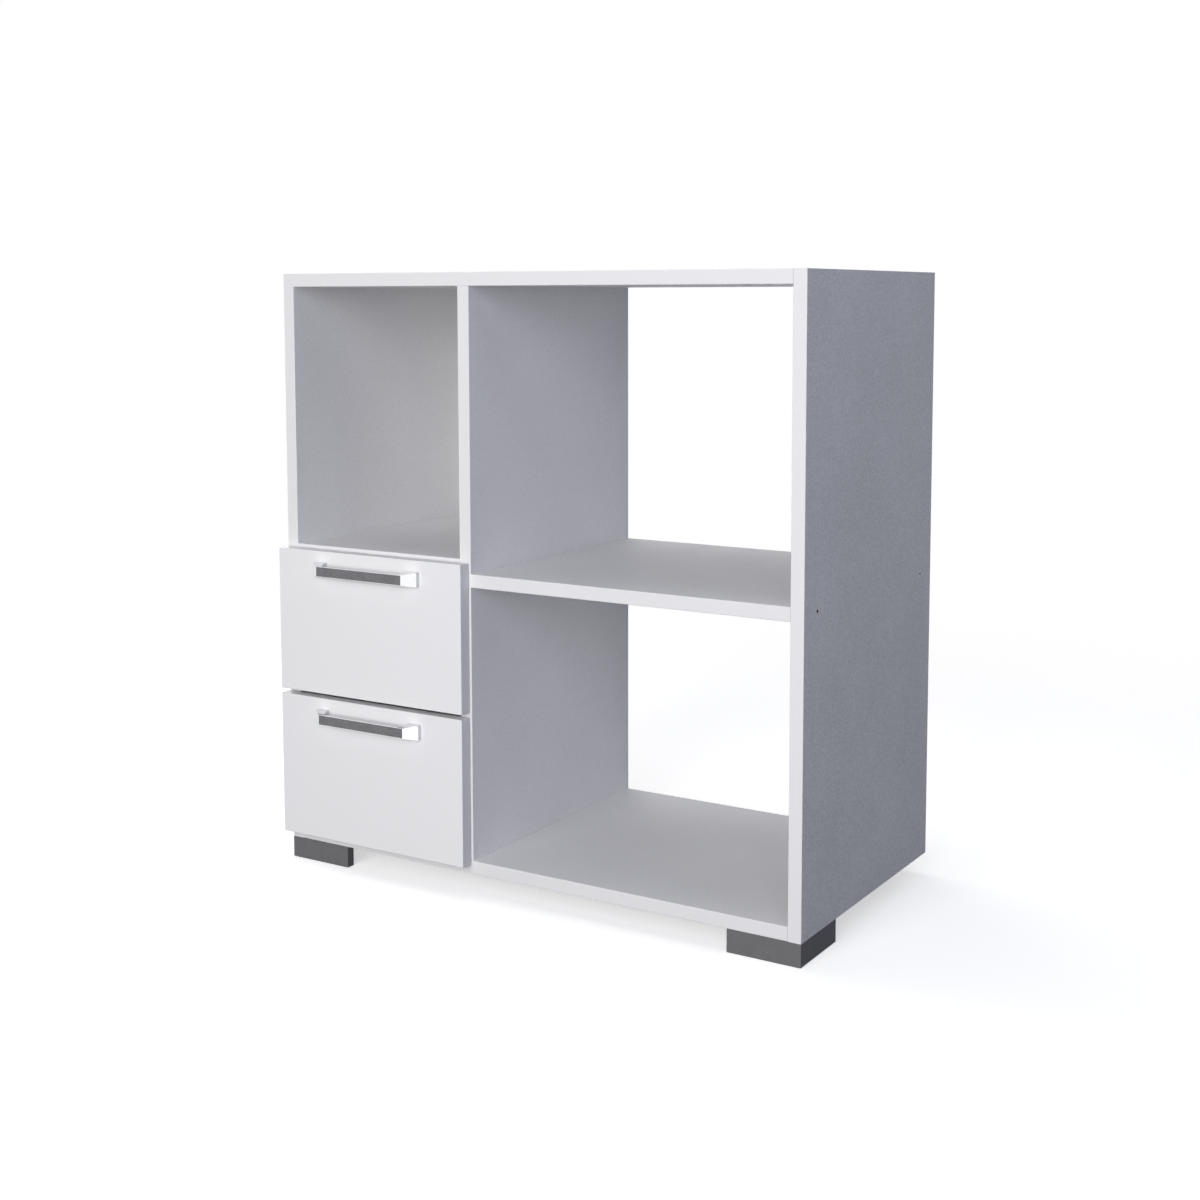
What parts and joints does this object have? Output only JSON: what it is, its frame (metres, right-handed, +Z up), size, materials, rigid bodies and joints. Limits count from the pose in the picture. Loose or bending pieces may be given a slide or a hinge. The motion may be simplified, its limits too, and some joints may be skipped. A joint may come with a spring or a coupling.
{
  "type": "kitchen cabinet",
  "caption": "Low freestanding white kitchen cabinet: open niche above stacked drawers on the left, open-backed appliance bays on the right, dark corner feet.",
  "frame": {"origin": "on the floor, under the middle of the bounding box", "axes": "+Z up, -Y out of the front (the drawers open towards -Y), +X to the right seen from the front"},
  "size_m": [0.8, 0.438, 0.83],
  "materials": {
    "white_board": "white melamine-faced chipboard, satin, fine grained foil",
    "front_board": "white melamine-faced chipboard with rounded edge band, satin",
    "drawer_board": "white melamine-faced chipboard, matt",
    "hardboard": "thin hardboard, white lacquered face, raw brown back",
    "foot_plastic": "moulded dark grey plastic",
    "chrome": "bright chrome on a zinc casting",
    "dark_insert": "dark grey satin insert",
    "runner_steel": "folded sheet steel, white epoxy coat",
    "roller_plastic": "natural nylon",
    "zinc": "zinc plated fittings",
    "dark_steel": "dark plated connecting screws",
    "beech": "grooved beech dowel"
  },
  "bodies": {
    "carcass": {"left_side_panel": "white_board", "right_side_panel": "white_board", "top_panel": "white_board", "bottom_panel": "white_board", "partition_panel": "white_board", "niche_shelf": "white_board", "oven_shelf": "white_board", "back_panel": "hardboard", "foot_front_left": "foot_plastic", "foot_front_right": "foot_plastic", "foot_rear_left": "foot_plastic", "foot_rear_right": "foot_plastic", "foot_screws": "zinc", "cam_locks": "zinc", "cam_bolts": "zinc", "wooden_dowels": "beech", "connecting_screws": "dark_steel", "runner_screws": "zinc", "upper_left_runner": "runner_steel", "upper_right_runner": "runner_steel", "lower_left_runner": "runner_steel", "lower_right_runner": "runner_steel"},
    "upper_drawer": {"upper_drawer_front": "front_board", "upper_drawer_left_side": "drawer_board", "upper_drawer_right_side": "drawer_board", "upper_drawer_back": "drawer_board", "upper_drawer_bottom": "hardboard", "upper_drawer_cam_fittings": "zinc", "upper_drawer_dowels": "beech", "upper_drawer_box_screws": "zinc", "upper_drawer_left_slide": "runner_steel", "upper_drawer_right_slide": "runner_steel", "upper_drawer_slide_screws": "zinc", "upper_handle": "chrome", "upper_handle_insert": "dark_insert", "upper_handle_screws": "zinc"},
    "lower_drawer": {"lower_drawer_front": "front_board", "lower_drawer_left_side": "drawer_board", "lower_drawer_right_side": "drawer_board", "lower_drawer_back": "drawer_board", "lower_drawer_bottom": "hardboard", "lower_drawer_cam_fittings": "zinc", "lower_drawer_dowels": "beech", "lower_drawer_box_screws": "zinc", "lower_drawer_left_slide": "runner_steel", "lower_drawer_right_slide": "runner_steel", "lower_drawer_slide_screws": "zinc", "lower_handle": "chrome", "lower_handle_insert": "dark_insert", "lower_handle_screws": "zinc"},
    "upper_left_front_roller": {"upper_left_front_roller": "roller_plastic"},
    "upper_left_rear_roller": {"upper_left_rear_roller": "roller_plastic"},
    "upper_right_front_roller": {"upper_right_front_roller": "roller_plastic"},
    "upper_right_rear_roller": {"upper_right_rear_roller": "roller_plastic"},
    "lower_left_front_roller": {"lower_left_front_roller": "roller_plastic"},
    "lower_left_rear_roller": {"lower_left_rear_roller": "roller_plastic"},
    "lower_right_front_roller": {"lower_right_front_roller": "roller_plastic"},
    "lower_right_rear_roller": {"lower_right_rear_roller": "roller_plastic"}
  },
  "joints": [
    {"name": "upper_drawer_slide", "type": "slide", "parent": "carcass", "child": "upper_drawer", "axis": [0, -1, 0], "range_m": [0, 0.25]},
    {"name": "upper_left_front_roller_spin", "type": "hinge", "parent": "carcass", "child": "upper_left_front_roller", "pos_m": [-0.3756, -0.164, 0.28485], "axis": [1, 0, 0], "continuous": true},
    {"name": "upper_left_rear_roller_spin", "type": "hinge", "parent": "upper_drawer", "child": "upper_left_rear_roller", "pos_m": [-0.3752, 0.154, 0.28375], "axis": [1, 0, 0], "continuous": true},
    {"name": "upper_right_front_roller_spin", "type": "hinge", "parent": "carcass", "child": "upper_right_front_roller", "pos_m": [-0.1064, -0.164, 0.28485], "axis": [1, 0, 0], "continuous": true},
    {"name": "upper_right_rear_roller_spin", "type": "hinge", "parent": "upper_drawer", "child": "upper_right_rear_roller", "pos_m": [-0.1068, 0.154, 0.28375], "axis": [1, 0, 0], "continuous": true},
    {"name": "lower_drawer_slide", "type": "slide", "parent": "carcass", "child": "lower_drawer", "axis": [0, -1, 0], "range_m": [0, 0.25]},
    {"name": "lower_left_front_roller_spin", "type": "hinge", "parent": "carcass", "child": "lower_left_front_roller", "pos_m": [-0.3756, -0.164, 0.07835], "axis": [1, 0, 0], "continuous": true},
    {"name": "lower_left_rear_roller_spin", "type": "hinge", "parent": "lower_drawer", "child": "lower_left_rear_roller", "pos_m": [-0.3752, 0.154, 0.07725], "axis": [1, 0, 0], "continuous": true},
    {"name": "lower_right_front_roller_spin", "type": "hinge", "parent": "carcass", "child": "lower_right_front_roller", "pos_m": [-0.1064, -0.164, 0.07835], "axis": [1, 0, 0], "continuous": true},
    {"name": "lower_right_rear_roller_spin", "type": "hinge", "parent": "lower_drawer", "child": "lower_right_rear_roller", "pos_m": [-0.1068, 0.154, 0.07725], "axis": [1, 0, 0], "continuous": true}
  ],
  "couplings": [
    {"joint": "upper_left_front_roller_spin", "follows": "upper_drawer_slide", "rad_per_m": 100},
    {"joint": "upper_left_rear_roller_spin", "follows": "upper_drawer_slide", "rad_per_m": 100},
    {"joint": "upper_right_front_roller_spin", "follows": "upper_drawer_slide", "rad_per_m": 100},
    {"joint": "upper_right_rear_roller_spin", "follows": "upper_drawer_slide", "rad_per_m": 100},
    {"joint": "lower_left_front_roller_spin", "follows": "lower_drawer_slide", "rad_per_m": 100},
    {"joint": "lower_left_rear_roller_spin", "follows": "lower_drawer_slide", "rad_per_m": 100},
    {"joint": "lower_right_front_roller_spin", "follows": "lower_drawer_slide", "rad_per_m": 100},
    {"joint": "lower_right_rear_roller_spin", "follows": "lower_drawer_slide", "rad_per_m": 100}
  ]
}
